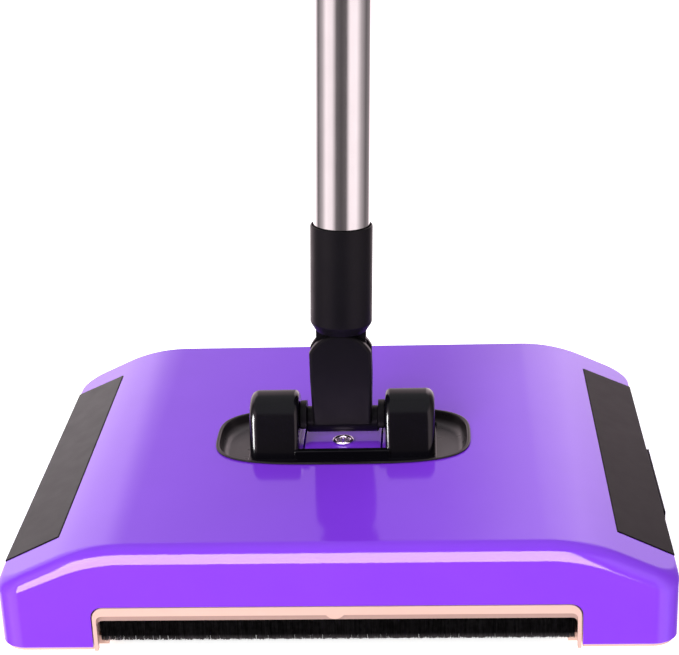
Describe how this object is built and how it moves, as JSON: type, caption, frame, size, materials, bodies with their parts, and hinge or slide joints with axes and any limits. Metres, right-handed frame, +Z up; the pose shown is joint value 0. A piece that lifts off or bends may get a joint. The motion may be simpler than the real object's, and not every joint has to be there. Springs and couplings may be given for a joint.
{
  "type": "carpet sweeper",
  "caption": "Hand-push carpet sweeper with a low domed head, geared brush roller, side dust tray and a tube handle on a two-way joint.",
  "frame": {"origin": "on the floor under the middle of the head", "axes": "+X to the sweeper's right, +Y to its rear, +Z up; the handle leans 4 degrees back and 2 degrees to the right"},
  "size_m": [0.2835, 0.214, 1.138],
  "materials": {
    "cover_purple": "polished moulded ABS",
    "panel_black": "satin moulded plastic",
    "frame_peach": "satin moulded plastic",
    "bezel_smoke": "semi-gloss moulded plastic",
    "pivot_black": "polished black plastic",
    "handle_black": "satin black plastic",
    "tube_chrome": "bright plated steel tube",
    "pin_steel": "turned steel",
    "screw_steel": "plated steel",
    "tyre_rubber": "matt black rubber",
    "bristle_black": "black nylon bristles",
    "core_grey": "moulded plastic",
    "gear_nylon": "natural nylon"
  },
  "bodies": {
    "head": {"top_cover": "cover_purple", "left_side_panel": "panel_black", "right_side_panel": "panel_black", "base_frame": "frame_peach", "front_trim": "frame_peach", "front_fringe": "bristle_black", "scoop_ramp": "tyre_rubber", "pivot_bezel": "bezel_smoke", "pivot_bracket": "pivot_black", "clamp_screw": "screw_steel", "pivot_shaft": "pin_steel", "left_drive_axle": "pin_steel", "right_drive_axle": "pin_steel", "idler_pin": "pin_steel", "left_rear_axle": "pin_steel", "right_rear_axle": "pin_steel", "left_roller_bush": "gear_nylon", "right_roller_bush": "gear_nylon", "base_screw_1": "screw_steel", "base_screw_2": "screw_steel", "base_screw_3": "screw_steel", "base_screw_4": "screw_steel"},
    "brush_roller": {"brush_core": "core_grey", "brush_bristles": "bristle_black", "roller_pinion": "gear_nylon"},
    "idler": {"idler_gear": "gear_nylon"},
    "left_drive": {"left_drive_wheel": "core_grey", "left_drive_tyre": "tyre_rubber", "drive_gear": "gear_nylon"},
    "right_drive": {"right_drive_wheel": "core_grey", "right_drive_tyre": "tyre_rubber"},
    "left_rear": {"left_rear_wheel": "core_grey"},
    "right_rear": {"right_rear_wheel": "core_grey"},
    "tray": {"dust_tray": "core_grey", "tray_door": "cover_purple", "tray_pull_lip": "panel_black"},
    "yoke": {"pivot_yoke": "handle_black", "swing_pin": "pin_steel"},
    "handle": {"handle_socket": "handle_black", "lower_tube": "tube_chrome", "middle_tube": "tube_chrome", "upper_tube": "tube_chrome", "lower_coupler": "handle_black", "upper_coupler": "handle_black", "hand_grip": "tyre_rubber", "grip_cap": "handle_black"}
  },
  "joints": [
    {"name": "left_drive_roll", "type": "hinge", "parent": "head", "child": "left_drive", "pos_m": [-0.118, -0.0465, 0.017], "axis": [1, 0, 0], "continuous": true},
    {"name": "right_drive_roll", "type": "hinge", "parent": "head", "child": "right_drive", "pos_m": [0.118, -0.0465, 0.017], "axis": [1, 0, 0], "continuous": true},
    {"name": "idler_spin", "type": "hinge", "parent": "head", "child": "idler", "pos_m": [-0.1077, -0.0681, 0.0212], "axis": [1, 0, 0], "continuous": true},
    {"name": "roller_spin", "type": "hinge", "parent": "head", "child": "brush_roller", "pos_m": [0, -0.083, 0.0195], "axis": [1, 0, 0], "continuous": true},
    {"name": "left_rear_roll", "type": "hinge", "parent": "head", "child": "left_rear", "pos_m": [-0.113, 0.082, 0.012], "axis": [1, 0, 0], "continuous": true},
    {"name": "right_rear_roll", "type": "hinge", "parent": "head", "child": "right_rear", "pos_m": [0.113, 0.082, 0.012], "axis": [1, 0, 0], "continuous": true},
    {"name": "tray_slide", "type": "slide", "parent": "head", "child": "tray", "axis": [1, 0, 0], "range_m": [0, 0.2]},
    {"name": "handle_pitch", "type": "hinge", "parent": "head", "child": "yoke", "pos_m": [0, 0, 0.059], "axis": [1, 0, 0], "range_deg": [-75, 6]},
    {"name": "handle_swing", "type": "hinge", "parent": "yoke", "child": "handle", "pos_m": [0, 0.00188, 0.08593], "axis": [0, 0.9976, -0.0698], "range_deg": [-35, 31]}
  ],
  "couplings": [
    {"joint": "idler_spin", "follows": "left_drive_roll", "ratio": -1.75},
    {"joint": "roller_spin", "follows": "left_drive_roll", "ratio": 2}
  ]
}
